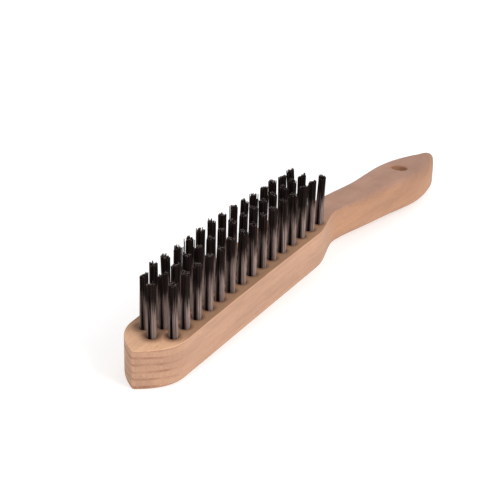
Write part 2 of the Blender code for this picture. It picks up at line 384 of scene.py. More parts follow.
def side_profile(x, body):
    """Mid-plane height and thickness at x."""
    top = face_height(min(x, body.blend_start), body)
    handle = smooth_step(x, body.blend_start, body.blend_end)
    thickness = (top + body.thickness) * (1 - handle) + body.handle_thickness * handle
    past = min(max((x - body.length) / body.tail_round + 1, 0.0), 1.0)
    thickness *= 1 - body.tail_share * (1 - math.sqrt(1 - past ** 2))
    drop = bend(x, body.bend_x, body.bend_length, body.slope)
    drop -= bend(x, body.lift_x, body.lift_length, body.lift_slope)
    return (top - body.thickness) / 2 - drop, thickness


def edge_radius(x, block_radius, start, end, tail_length, body):
    """Rounding of a long edge: small on the block, large on the handle, small again at the tail."""
    share = smooth_step(x, start, end)
    radius = block_radius * (1 - share) + body.handle_edge * share
    tail = smooth_step(x, body.length - tail_length, body.length)
    return radius * (1 - tail) + body.tail_edge * tail


def section(x, body):
    """Points round the body at x: a rectangle with rounded corners, one corner after another."""
    wide = half_width(x, body)
    middle, thickness = side_profile(x, body)
    tall = thickness / 2
    limit = LARGEST_RADIUS_SHARE * min(wide, tall)
    waves, strength = EDGE_WAVER
    easing = body.face_edge * (1 + strength * noise.noise((x * waves, 0.0, 0.0)))
    nose = 1 - smooth_step(x, 0.0, body.nose_back_length)
    back_edge = body.back_edge * (1 - nose) + body.nose_back_edge * nose
    face_blend = (body.face_blend_start, body.face_blend_end)
    back_blend = (body.back_blend_start, body.back_blend_end)
    top_radius = min(edge_radius(x, easing, *face_blend, body.tail_edge_length, body), limit)
    back_radius = min(edge_radius(x, back_edge, *back_blend, body.tail_back_length, body), limit)
    corners = ((1, 1, top_radius), (-1, 1, top_radius), (-1, -1, back_radius), (1, -1, back_radius))
    points = []
    for quarter, (side, up, radius) in enumerate(corners):
        for step in range(CORNER_STEPS + 1):
            angle = math.pi / 2 * (quarter + step / CORNER_STEPS)
            y = side * (wide - radius) + radius * math.cos(angle)
            z = up * (tall - radius) + radius * math.sin(angle)
            points.append(Vector((x, y, middle + z)))
    return points


def spread(start, end, count, power=1.0):
    """Count positions from start towards end, closer together near start when power is over 1."""
    return [start + (end - start) * (i / count) ** power for i in range(count)]


def station_positions(body):
    """Where the sections stand along the body, from the tip of the nose to the tail."""
    positions = spread(0.0, body.nose_length, NOSE_STATIONS, NOSE_CROWDING)
    positions += spread(body.nose_length, body.shoulder_x, BLOCK_STATIONS)
    positions += spread(body.shoulder_x, body.blend_end, NECK_STATIONS)
    positions += spread(body.blend_end, body.bulb_x, GRIP_STATIONS)
    tail = spread(body.length, body.bulb_x, TAIL_STATIONS, TAIL_CROWDING)
    return positions + [body.bulb_x] + tail[::-1]


def lofted_body(body):
    """Extrude a ring from section to section, then divide the flats and close both ends."""
    bm = bmesh.new()
    turn = bm.verts.layers.int.new("turn")
    places = [section(x, body) for x in station_positions(body)]
    ring = bmesh.ops.create_circle(bm, segments=len(places[0]), radius=body.nose_tip)["verts"]
    for i, vertex in enumerate(ring):
        vertex[turn] = i
        vertex.co = places[0][i]
    edges = list(bm.edges)
    for place in places[1:]:
        made = bmesh.ops.extrude_edge_only(bm, edges=edges)["geom"]
        ring = {item for item in made if isinstance(item, bmesh.types.BMVert)}
        for vertex in ring:
            vertex.co = place[vertex[turn]]
        edges = [e for e in made if isinstance(e, bmesh.types.BMEdge) and ring.issuperset(e.verts)]
    corner = CORNER_STEPS + 1
    flats = [
        edge
        for edge in bm.edges
        if abs(edge.verts[0].co.x - edge.verts[1].co.x) < 1e-7
        and {v[turn] % corner for v in edge.verts} == {0, CORNER_STEPS}
    ]
    bmesh.ops.subdivide_edges(bm, edges=flats, cuts=FLAT_CUTS, use_grid_fill=True)
    bmesh.ops.holes_fill(bm, edges=[edge for edge in bm.edges if edge.is_boundary])
    bmesh.ops.recalc_face_normals(bm, faces=bm.faces)
    return bm


def sand(bm, depth):
    """Leave the slight unevenness of hand sanding."""
    bm.normal_update()
    for vertex in bm.verts:
        uneven = sum(strength * noise.noise(vertex.co * waves) for waves, strength in SANDING_WAVES)
        vertex.co += vertex.normal * depth * (uneven - 1.0)


# ---- Mesh helpers ----


def mesh_from(name, bm):
    """Turn a bmesh into a mesh and free it."""
    mesh = bpy.data.meshes.new(name)
    bm.to_mesh(mesh)
    bm.free()
    return mesh


def add_object(name, mesh, *materials):
    """Put a mesh in the scene as an object of its own."""
    thing = bpy.data.objects.new(name, mesh)
    bpy.context.scene.collection.objects.link(thing)
    for finish in materials:
        mesh.materials.append(finish)
    return thing


def turned(profile, steps):
    """Spin a line of (radius, height) points about Z into one closed skin."""
    bm = bmesh.new()
    points = [bm.verts.new((radius, 0.0, height)) for radius, height in profile]
    edges = [bm.edges.new(pair) for pair in zip(points, points[1:])]
    bmesh.ops.spin(
        bm, geom=points + edges, cent=(0, 0, 0), axis=(0, 0, 1), dvec=(0, 0, 0),
        angle=math.tau, steps=steps, use_merge=True,
    )
    bmesh.ops.remove_doubles(bm, verts=bm.verts, dist=MERGE_DISTANCE)
    bmesh.ops.recalc_face_normals(bm, faces=bm.faces)
    return bm


def cut(thing, cutters):
    """Subtract every cutter, keeping the cutters' materials on the cut faces, and give back the mesh."""
    for cutter in cutters:
        modifier = thing.modifiers.new(cutter.name, "BOOLEAN")
        modifier.operation = "DIFFERENCE"
        modifier.solver = "EXACT"
        modifier.material_mode = "TRANSFER"
        modifier.object = cutter
    evaluated = thing.evaluated_get(bpy.context.evaluated_depsgraph_get())
    mesh = bpy.data.meshes.new_from_object(evaluated)
    thing.modifiers.clear()
    for cutter in cutters:
        bpy.data.objects.remove(cutter)
    return mesh


def lay_down(thing, *nodes, slot):
    """Move a finished piece's mesh to its place in the frame and let it stand for its solids."""
    thing.data.transform(TO_FRAME)
    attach(thing, "root")
    if nodes:
        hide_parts(*nodes)


# ---- Where the tufts stand ----


def tuft_stands():
    """For each tuft node: its name and a matrix with its origin at the hole's mouth and Z up the wires."""
    stands = []
    for name in sorted(frame["nodes"]):
        if not name.startswith(TUFT_PREFIX):
            continue
        points = node_points(name)
        low = min(point.z for point in points)
        high = max(point.z for point in points)
        foot = middle_of([p for p in points if p.z < low + END_SLICE])
        top = middle_of([p for p in points if p.z > high - END_SLICE])
        direction = (top - foot).normalized()
        lean = Matrix.Rotation(math.atan2(direction.x, direction.z), 4, "Y")
        stands.append((name, foot, (top - foot).length, lean))
    return stands


def middle_of(points):
    """Middle of the box round some points."""
    low = Vector(map(min, *points))
    high = Vector(map(max, *points))
    return (low + high) / 2


TUFT_STANDS = tuft_stands()


def mouth_matrix(foot, lean, bristles):
    """Place of a hole's mouth, which lies the hole's depth above the foot of its tuft."""
    return Matrix.Translation(foot) @ lean @ Matrix.Translation((0, 0, bristles.hole_depth - CLEARANCE))


# ---- Node trees ----


def add_node(tree, kind, inputs=None, **settings):
    """Add a node, set its settings, and link or set each input by its name or its number."""
    node = tree.nodes.new(kind)
    for name, value in settings.items():
        setattr(node, name, value)
    for key, value in (inputs or {}).items():
        if isinstance(value, bpy.types.NodeSocket):
            tree.links.new(value, node.inputs[key])
        else:
            node.inputs[key].default_value = value
    return node


def new_group(name, inputs, outputs):
    """A shader node group with named inputs (name, default) and number outputs: tree, given and results."""
    tree = bpy.data.node_groups.new(name, "ShaderNodeTree")
    for label, default in inputs:
        vector = default is None
        kind = "NodeSocketVector" if vector else "NodeSocketFloat"
        socket = tree.interface.new_socket(name=label, in_out="INPUT", socket_type=kind)
        if not vector:
            socket.default_value = default
    for label in outputs:
        tree.interface.new_socket(name=label, in_out="OUTPUT", socket_type="NodeSocketFloat")
    return tree, tree.nodes.new("NodeGroupInput").outputs, tree.nodes.new("NodeGroupOutput").inputs


def put_out(tree, result, **values):
    """Link values to a group's outputs or a shader's inputs, with _ for a space in their names."""
    for name, value in values.items():
        tree.links.new(value, result[name.replace("_", " ")])


def separate(tree, vector):
    """The three parts of a vector."""
    return add_node(tree, "ShaderNodeSeparateXYZ", {0: vector}).outputs


def use_group(tree, group, inputs):
    """Place a node group in a tree and give back its outputs."""
    return add_node(tree, "ShaderNodeGroup", inputs, node_tree=group).outputs


def calculate(tree, operation, first, second=0.0, third=0.0):
    """One step of arithmetic."""
    inputs = {0: first, 1: second, 2: third}
    return add_node(tree, "ShaderNodeMath", inputs, operation=operation).outputs[0]


def times(tree, first, second, plus=None):
    """Product of two values, with a third added to it if there is one."""
    if plus is None:
        return calculate(tree, "MULTIPLY", first, second)
    return calculate(tree, "MULTIPLY_ADD", first, second, plus)


def ramp(tree, value, low, high, start=0.0, end=1.0):
    """Smooth change from start to end while a value goes from low to high."""
    inputs = {"Value": value, "From Min": low, "From Max": high, "To Min": start, "To Max": end}
    return add_node(tree, "ShaderNodeMapRange", inputs, interpolation_type="SMOOTHSTEP").outputs["Result"]


def grains(tree, vector, sizes, detail=3.0, roughness=0.55, offset=(0.0, 0.0, 0.0)):
    """Noise whose features have the given sizes along X, Y and Z."""
    scale = [1 / length for length in sizes]
    mapped = add_node(tree, "ShaderNodeMapping", {"Vector": vector, "Scale": scale, "Location": offset})
    inputs = {"Vector": mapped.outputs[0], "Scale": 1.0, "Detail": detail, "Roughness": roughness}
    return add_node(tree, "ShaderNodeTexNoise", inputs).outputs["Fac"]


def mix_colour(tree, factor, first, second, blend="MIX"):
    """Colour between first and second."""
    ends = {0: factor, 6: opaque(first), 7: opaque(second)}
    return add_node(tree, "ShaderNodeMix", ends, data_type="RGBA", blend_type=blend).outputs[2]


def opaque(value):
    """A colour with its alpha, or a socket as it is."""
    return value if isinstance(value, bpy.types.NodeSocket) else (*value, 1.0)


def bump(tree, height, distance, strength=1.0):
    """Normals from a height."""
    return add_node(
        tree, "ShaderNodeBump", {"Height": height, "Distance": distance, "Strength": strength}
    ).outputs["Normal"]


def new_material(name, **constants):
    """An empty material's tree, its shader's inputs and coordinates in the brush's own axes."""
    material = bpy.data.materials.new(name)
    material.use_nodes = True
    tree = material.node_tree
    shader = tree.nodes["Principled BSDF"]
    for socket, value in constants.items():
        shader.inputs[socket.replace("_", " ")].default_value = value
    coordinates = add_node(tree, "ShaderNodeTexCoord").outputs["Object"]
    turn = {"Vector": coordinates, "Location": TO_BRUSH.translation, "Rotation": TO_BRUSH.to_euler()}
    place = add_node(tree, "ShaderNodeMapping", turn).outputs[0]
    return tree, shader.inputs, place


def attribute(tree, name):
    """A number stored on the mesh."""
    return add_node(tree, "ShaderNodeAttribute", attribute_name=name).outputs["Fac"]


# ---- Shared effects ----


def beech_grain_group():
    """Growth rings, ray flecks, fibres and slow changes of tone in a plank sawn with its rings flat."""
    tree, given, result = new_group(
        "Beech Grain",
        (("Vector", None), ("Ring Spacing", 0.0034), ("Waviness", 0.0022)),
        ("Rings", "Rays", "Flecks", "Fibres", "Tone", "Height"),
    )
    place = given["Vector"]
    waves = grains(tree, place, (0.075, 0.016, 0.012), detail=2.0)
    ripples = grains(tree, place, (0.020, 0.004, 0.004), detail=2.0, offset=(3.0, 1.0, 5.0))
    axes = separate(tree, place)
    bowed = times(tree, calculate(tree, "POWER", axes["Y"], 2.0), 4.5)
    depth = calculate(tree, "ADD", axes["Z"], bowed)
    sway = calculate(tree, "SUBTRACT", waves, 0.5)
    sway = times(tree, calculate(tree, "SUBTRACT", ripples, 0.5), 0.22, sway)
    depth = times(tree, sway, given["Waviness"], depth)
    rings = calculate(tree, "FRACT", calculate(tree, "DIVIDE", depth, given["Ring Spacing"]))
    late = ramp(tree, rings, 0.50, 0.88)
    edge = ramp(tree, rings, 0.93, 1.0, 1.0, 0.0)
    late = times(tree, late, edge)
    rays = grains(tree, place, (0.0016, 0.0007, 0.006), detail=2.0, offset=(2.0, 6.0, 3.0))
    late = times(tree, late, ramp(tree, rays, 0.32, 0.60, 0.35, 1.0))
    uneven = ramp(tree, grains(tree, place, (0.03, 0.008, 0.0022), detail=1.0), 0.30, 0.62, 0.25, 1.0)
    late = times(tree, late, uneven)
    flecks = ramp(tree, grains(tree, place, (0.0026, 0.00035, 0.0006), detail=2.0), 0.60, 0.72)
    sparse = ramp(tree, grains(tree, place, (0.02, 0.006, 0.006), offset=(7.0, 2.0, 1.0)), 0.42, 0.62)
    flecks = times(tree, flecks, sparse)
    fibres = grains(tree, place, (0.011, 0.00028, 0.00028), detail=4.0, roughness=0.6)
    tone = grains(tree, place, (0.055, 0.013, 0.010), detail=3.0, offset=(1.0, 9.0, 4.0))
    height = times(tree, flecks, -0.8, fibres)
    height = times(tree, late, 0.5, height)
    put_out(tree, result, Rings=late, Rays=rays, Flecks=flecks, Fibres=fibres, Tone=tone, Height=height)
    return tree


def drawn_metal_group():
    """Lines left by the drawing die along a wire, and the patchy scale on it."""
    tree, given, result = new_group(
        "Drawn Metal", (("Vector", None), ("Patch Size", 0.004)), ("Lines", "Scale", "Height")
    )
    place = given["Vector"]
    lines = grains(tree, place, (0.00007, 0.00007, 0.009), detail=2.0)
    stretched = add_node(tree, "ShaderNodeMapping", {"Vector": place, "Scale": (1.0, 1.0, 0.35)}).outputs[0]
    inverse = calculate(tree, "DIVIDE", 1.0, given["Patch Size"])
    patches = add_node(
        tree, "ShaderNodeTexNoise", {"Vector": stretched, "Scale": inverse, "Detail": 4.0, "Roughness": 0.65}
    ).outputs["Fac"]
    height = times(tree, patches, 0.6, lines)
    put_out(tree, result, Lines=lines, Scale=ramp(tree, patches, 0.35, 0.68), Height=height)
    return tree


def grime_group():
    """Fine specks and soft smudges of dust."""
    tree, given, result = new_group("Grime", (("Vector", None), ("Amount", 0.5)), ("Specks", "Smudges"))
    place = given["Vector"]
    specks = grains(tree, place, (0.0006, 0.0005, 0.0005), detail=4.0, roughness=0.7)
    smudges = grains(tree, place, (0.012, 0.006, 0.006), detail=4.0, roughness=0.6, offset=(5.0, 3.0, 8.0))
    limit = times(tree, given["Amount"], -0.25, 0.80)
    upper = calculate(tree, "ADD", limit, 0.08)
    put_out(tree, result, Specks=ramp(tree, specks, limit, upper), Smudges=ramp(tree, smudges, 0.40, 0.75))
    return tree


def hole_halo_group():
    """Distance to the nearest drilled hole, in three rows with the middle row half a pitch back."""
    first, pitch, spacing, last = tuft_lattice()
    tree, given, result = new_group("Hole Halo", (("Vector", None), ("Pitch", pitch)), ("Distance",))
    axes = separate(tree, given["Vector"])

    def off_row(start, beside):
        along = calculate(tree, "SUBTRACT", axes["X"], start)
        steps = calculate(tree, "ROUND", calculate(tree, "DIVIDE", along, given["Pitch"]))
        steps = calculate(tree, "MAXIMUM", steps, 0.0)
        steps = calculate(tree, "MINIMUM", steps, last)
        along = calculate(tree, "SUBTRACT", along, times(tree, steps, given["Pitch"]))
        squares = calculate(tree, "POWER", calculate(tree, "ABSOLUTE", along), 2.0)
        squares = times(tree, beside, beside, squares)
        return calculate(tree, "SQRT", squares)

    across = calculate(tree, "ABSOLUTE", axes["Y"])
    outer = off_row(first, calculate(tree, "SUBTRACT", across, spacing))
    middle = off_row(first - pitch / 2, across)
    put_out(tree, result, Distance=calculate(tree, "MINIMUM", outer, middle))
    return tree


def tuft_lattice():
    """First place, pitch, row spacing and last number of the tufts, measured from their solids."""
    outer = sorted(foot.x for name, foot, _, _ in TUFT_STANDS if "_right_" in name)
    rows = [foot.y for _, foot, _, _ in TUFT_STANDS]
    last = len(outer) - 1
    return outer[0], (outer[-1] - outer[0]) / last, max(rows), float(last)


# ---- Materials ----


def beech_material(finishes, grain, halo, grime):
    """Bare sanded beech: rings on the end grain, flecks, rows darkened by dust and painted shade of the
    tufts, a painted highlight on the rounded face edges and nose tip, greyed handle, grimy holes.
    """
    tree, shader, place = new_material("sanded_beech", Specular_IOR_Level=0.3)
    wood = use_group(tree, grain, {"Vector": place})
    end_grain = attribute(tree, "end_grain")
    upward = attribute(tree, "upward")
    axes = separate(tree, place)
    handle = ramp(tree, axes["X"], 0.140, 0.165)
    face = times(tree, upward, calculate(tree, "SUBTRACT", 1.0, handle))
    distance = use_group(tree, halo, {"Vector": place})["Distance"]
    dust = use_group(tree, grime, {"Vector": place, "Amount": 0.6})

    flank = mix_colour(tree, handle, finishes.beech, finishes.beech_grip)
    # Dust and painted shade of the tufts: the drilled face gets darker close to the holes and behind the
    # nose tip
    behind_nose = ramp(tree, axes["X"], 0.008, 0.024, 0.0, 0.65)
    darker = calculate(tree, "MAXIMUM", ramp(tree, distance, 0.0024, 0.0066, 0.9, 0.0), behind_nose)
    level = mix_colour(tree, darker, finishes.beech_face, finishes.beech_dust_and_shade)
    level = mix_colour(tree, handle, level, finishes.beech_handled)
    base = mix_colour(tree, upward, flank, level)
    light = ramp(tree, wood["Tone"], 0.30, 0.72, 0.88, 1.10)
    light = times(tree, light, ramp(tree, wood["Fibres"], 0.25, 0.75, 0.88, 1.12))
    streak = times(tree, ramp(tree, wood["Rays"], 0.35, 0.65, -0.07, 0.07), end_grain)
    light = calculate(tree, "ADD", light, streak)
    # Painted highlight on the rounded face edges and the nose tip
    light = times(tree, attribute(tree, "arris_highlight"), 0.60, light)
    shade = add_node(tree, "ShaderNodeCombineColor", {0: light, 1: light, 2: light}).outputs[0]
    base = mix_colour(tree, 1.0, base, shade, "MULTIPLY")

    rings = times(tree, wood["Rings"], ramp(tree, end_grain, 0.05, 0.75, 0.15, 0.85))
    base = mix_colour(tree, rings, base, finishes.beech_ring)
    base = mix_colour(tree, times(tree, wood["Flecks"], 0.75), base, finishes.beech_fleck)
    near = ramp(tree, distance, 0.0022, 0.0040, 1.0, 0.0)
    smear = times(tree, near, ramp(tree, dust["Smudges"], 0.0, 1.0, 0.05, 0.30))
    specks = times(tree, dust["Specks"], times(tree, face, 0.35, 0.10))
    dirt = calculate(tree, "MAXIMUM", times(tree, smear, face), specks)
    base = mix_colour(tree, dirt, base, finishes.grime)
    rough = times(tree, wood["Fibres"], 0.18, 0.50)
    rough = times(tree, end_grain, 0.10, rough)
    put_out(tree, shader, Base_Color=base, Roughness=rough, Normal=bump(tree, wood["Height"], 0.00006, 0.6))


def drilled_material(finishes, grain, grime):
    """Torn, darkened fibres on the walls of the holes."""
    tree, shader, place = new_material("drilled_beech", Specular_IOR_Level=0.2)
    wood = use_group(tree, grain, {"Vector": place})
    dust = use_group(tree, grime, {"Vector": place, "Amount": 0.9})
    base = mix_colour(tree, wood["Fibres"], finishes.beech_drilled, finishes.beech_ring)
    base = mix_colour(tree, times(tree, dust["Smudges"], 0.5), base, finishes.grime)
    rough = times(tree, wood["Fibres"], 0.2, 0.65)
    put_out(tree, shader, Base_Color=base, Roughness=rough, Normal=bump(tree, wood["Height"], 0.0001))


def wire_material(finishes, drawn, grime):
    """Dull drawn carbon steel, lighter wire by wire, with painted shade that turns it black beside the slot
    and towards the top.
    """
    tree, shader, place = new_material("drawn_wire", Metallic=0.08, Specular_IOR_Level=0.02)
    steel = use_group(tree, drawn, {"Vector": place})
    dust = use_group(tree, grime, {"Vector": place, "Amount": 0.5})
    rubbed = times(tree, attribute(tree, "strand"), 0.55)
    rubbed = times(tree, steel["Scale"], 0.30, rubbed)
    base = mix_colour(tree, rubbed, finishes.wire, finishes.wire_light)
    # Painted shade beside the slot
    base = mix_colour(tree, attribute(tree, "slot_shade"), base, finishes.wire_painted_slot_shade)
    # Painted shade towards the top of the wires, starting a little lower on some wires than on others
    height = times(tree, steel["Scale"], 0.16, attribute(tree, "along"))
    height = times(tree, attribute(tree, "strand"), 0.24, height)
    base = mix_colour(tree, ramp(tree, height, 0.56, 0.90, 0.0, 0.97), base, finishes.wire_tip_shade)
    base = mix_colour(tree, times(tree, dust["Specks"], 0.3), base, finishes.grime)
    rough = ramp(tree, steel["Lines"], 0.3, 0.7, 0.68, 0.82)
    put_out(tree, shader, Base_Color=base, Roughness=rough, Normal=bump(tree, steel["Height"], 0.00001))


def cut_end_material(finishes, drawn):
    """Bright sheared steel on the tips of the wires."""
    tree, shader, place = new_material("cut_steel", Metallic=0.9)
    steel = use_group(tree, drawn, {"Vector": place, "Patch Size": 0.0009})
    base = mix_colour(tree, steel["Scale"], finishes.cut_end, finishes.wire)
    rough = ramp(tree, steel["Scale"], 0.0, 1.0, 0.30, 0.5)
    put_out(tree, shader, Base_Color=base, Roughness=rough, Normal=bump(tree, steel["Height"], 0.00001))


def anchor_material(finishes, drawn, grime):
    """Soft flat wire, dull and dusty."""
    tree, shader, place = new_material("anchor_wire", Metallic=0.85)
    steel = use_group(tree, drawn, {"Vector": place, "Patch Size": 0.002})
    dust = use_group(tree, grime, {"Vector": place, "Amount": 0.8})
    base = mix_colour(tree, steel["Scale"], finishes.anchor, finishes.wire)
    base = mix_colour(tree, times(tree, dust["Smudges"], 0.4), base, finishes.grime)
    rough = ramp(tree, steel["Lines"], 0.3, 0.7, 0.40, 0.60)
    put_out(tree, shader, Base_Color=base, Roughness=rough, Normal=bump(tree, steel["Height"], 0.00001))


def floor_material(stage, grime):
    """Plain pale studio floor."""
    tree, shader, place = new_material("studio_floor", Specular_IOR_Level=0.1, Roughness=0.9)
    shader["Emission Color"].default_value = (1.0, 1.0, 1.0, 1.0)
    shader["Emission Strength"].default_value = stage.floor_glow
    dust = use_group(tree, grime, {"Vector": place, "Amount": 0.0})
    pale = [0.99 * part for part in stage.floor]
    put_out(tree, shader, Base_Color=mix_colour(tree, dust["Smudges"], stage.floor, pale))


def material_named(name):
    """A finish by its name, making every finish and every shared effect the first time."""
    if name not in bpy.data.materials:
        settings = bpy.context.scene.wire_brush
        finishes = settings.finishes
        grain, drawn = beech_grain_group(), drawn_metal_group()
        grime, halo = grime_group(), hole_halo_group()
        beech_material(finishes, grain, halo, grime)
        drilled_material(finishes, grain, grime)
        wire_material(finishes, drawn, grime)
        cut_end_material(finishes, drawn)
        anchor_material(finishes, drawn, grime)
        floor_material(settings.stage, grime)
    return bpy.data.materials[name]


# ---- Wooden body ----


def tuft_hole_cutter(bristles):
    """One drill shape for every tuft: pointed bottom, straight wall and a slightly crushed mouth."""
    wall = bristles.hole
    chamfer = bristles.hole_chamfer
    depth = bristles.hole_depth
    profile = (
        (0.0, -depth - 0.55 * wall),
        (wall, -depth),
        (wall, -depth / 2),
        (wall, -2.0 * chamfer),
        (wall + 0.35 * chamfer, -0.6 * chamfer),
        (wall + chamfer, 0.15 * chamfer),
        (wall + 2 * chamfer, DRILL_RISE),
        (0.0, DRILL_RISE),
    )
    drill = mesh_from("drill", turned(profile, RIM_SEGMENTS))
    bm = bmesh.new()
    for _, foot, _, lean in TUFT_STANDS:
        before = len(bm.verts)
        bm.from_mesh(drill)
        bm.verts.ensure_lookup_table()
        matrix = mouth_matrix(foot, lean, bristles)
        bmesh.ops.transform(bm, matrix=matrix, verts=bm.verts[before:])
    bpy.data.meshes.remove(drill)
    return add_object("tuft_holes", mesh_from("tuft_holes", bm), material_named("drilled_beech"))


def hanging_hole_cutter(body):
    """A through hole square to the handle, with both rims rounded over."""
    middle, thickness = side_profile(body.hang_hole_x, body)
    face = thickness / 2
    rim = body.hang_hole_rim
    wall = body.hang_hole
    arc = [math.radians(angle) for angle in (0, 20, 40, 60, 78)]
    upper = [(wall + rim * (1 - math.cos(a)), face - rim + rim * math.sin(a)) for a in arc]
    outer = wall + 2 * rim
    above = face + HANGING_DRILL_RISE
    half = [(0.0, above), (outer, above)] + upper[::-1]
    profile = half + [(radius, -height) for radius, height in reversed(half)]
    bm = turned(profile, 2 * RIM_SEGMENTS)
    lean = Matrix.Rotation(math.atan(body.slope), 4, "Y")
    place = Matrix.Translation((body.hang_hole_x, 0.0, middle)) @ lean
    bmesh.ops.transform(bm, matrix=place, verts=bm.verts)
    return add_object("hanging_hole", mesh_from("hanging_hole", bm), material_named("sanded_beech"))


def store_directions(mesh, body):
    """Store at every face corner how squarely it cuts the grain, how far up it looks, and how much painted
    highlight falls on the rounded face edges and the nose tip.
    """
    names = ("end_grain", "upward", "arris_highlight")
    for name in names:
        mesh.attributes.new(name, "FLOAT", "CORNER")
    end_grain, upward, arris_highlight = (mesh.attributes[name].data for name in names)
    normals = mesh.corner_normals
    for loop in mesh.loops:
        normal = normals[loop.index].vector
        on_block = 1 - smooth_step(mesh.vertices[loop.vertex_index].co.x, body.bend_x, body.blend_end)
        up = smooth_step(normal.z, 0.50, 0.95)
        end_grain[loop.index].value = abs(normal.x)
        upward[loop.index].value = up
        # Painted highlight: corners halfway round the rounded face edge, and the nose tip, are lightened
        tip = smooth_step(-normal.x, 0.86, 0.99) * 0.4
        arris_highlight[loop.index].value = max(4 * up * (1 - up), tip) * on_block


def build_body(settings):
    """Loft, sand, drill and finish the wooden body."""
    bm = lofted_body(settings.body)
    sand(bm, settings.body.sanding)
    blank = add_object("blank", mesh_from("blank", bm), material_named("sanded_beech"))
    mesh = cut(blank, (tuft_hole_cutter(settings.bristles), hanging_hole_cutter(settings.body)))
    bpy.data.objects.remove(blank)
    mesh.name = "beech_body"
    mesh.shade_smooth()
    mesh.set_sharp_from_angle(angle=SHARP_ANGLE)
    store_directions(mesh, settings.body)
    body = add_object("beech_body", mesh)
    lay_down(body, BODY_NODE, slot="beech")
    weighted = body.modifiers.new("flat faces keep flat shading", "WEIGHTED_NORMAL")
    weighted.keep_sharp = True


# ---- Tufts of folded wire ----


def leg_places(bristles):
    """Where one half of a tuft's wires leave the wood: close rows that fill half the hole."""
    edge = bristles.hole - bristles.wire - bristles.slack
    row_step = bristles.spacing * math.sqrt(3) / 2
    places = []
    y = bristles.slot / 2 + bristles.wire
    row = 0
    while y < edge:
        reach = math.sqrt(edge ** 2 - y ** 2)
        shift = bristles.spacing / 2 if row % 2 else 0.0
        count = int((reach + shift) / bristles.spacing) + 1
        xs = [shift + i * bristles.spacing for i in range(-count, count + 1)]
        places += [Vector((x, y)) for x in xs if abs(x) <= reach]
        y += row_step
        row += 1
    places.sort(key=lambda place: (place - Vector((0.0, edge / 2))).length)
    return places[: bristles.wires]


def leg_path(place, side, fold, top, bristles, rng):
    """Points up one leg of a folded wire, from just above its fold to its tip near the tuft's top."""
    closing = bristles.slot / 2 * bristles.slot_closing
    tip = Vector((place.x, place.y - closing)) * bristles.flare
    tip += Vector((rng.gauss(0, bristles.stray), rng.gauss(0, bristles.stray)))
    if rng.random() < STRAY_SHARE:
        tip *= STRAY_REACH
    height = top.z + min(rng.gauss(0, bristles.ragged), bristles.longest)
    root = Vector((place.x, side * place.y, -bristles.hole / 2))
    points = [Vector((fold.x, side * fold.y, fold.z)), root]
    for part in LEG_PARTS:
        z = height * part
        closed = smooth_step(z, 0.0, bristles.slot_height)
        x = place.x + (tip.x - place.x + top.x) * part ** 2
        y = side * (place.y + (tip.y - place.y) * closed) + top.y * part ** 2
        wander = bristles.stray * WANDER_SHARE * part
        points.append(Vector((x + rng.gauss(0, wander), y + rng.gauss(0, wander), z)))
    return points


def add_wire(bm, path, radius, rng, strand_layer, tip_layer):
    """Draw a round wire along a path and close both ends, which are sheared a little askew."""
    tone = rng.random()
    direction = (path[1] - path[0]).normalized()
    start = Matrix.Translation(path[0]) @ direction.to_track_quat("Z", "Y").to_matrix().to_4x4()
    made = bmesh.ops.create_circle(bm, cap_ends=True, segments=WIRE_SIDES, radius=radius, matrix=start)
    ring = made["verts"]
    first = ring[0].link_faces[0]
    edges = list(first.edges)
    every = list(ring)
    for here, there, beyond in zip(path, path[1:], path[2:] + [None]):
        onward = (beyond - there) if beyond else (there - here)
        bisector = ((there - here).normalized() + onward.normalized()).normalized()
        made = bmesh.ops.extrude_edge_only(bm, edges=edges)["geom"]
        ring = [item for item in made if isinstance(item, bmesh.types.BMVert)]
        known = set(ring)
        edges = [e for e in made if isinstance(e, bmesh.types.BMEdge) and known.issuperset(e.verts)]
        turn = direction.rotation_difference(bisector).to_matrix().to_4x4()
        matrix = Matrix.Translation(there) @ turn @ Matrix.Translation(-here)
        bmesh.ops.transform(bm, matrix=matrix, verts=ring)
        direction = bisector
        every += ring
    last = bmesh.ops.contextual_create(bm, geom=edges)["faces"][0]
    for face in (first, last):
        face[tip_layer] = 1
        askew = rng.uniform(-SHEAR_SLANT, SHEAR_SLANT)
        slant = Matrix.Rotation(askew, 3, Vector((rng.random() - 0.5, rng.random() - 0.5, 0)))
        bmesh.ops.rotate(bm, cent=face.calc_center_median(), matrix=slant, verts=face.verts)
    for vertex in every:
        vertex[strand_layer] = tone


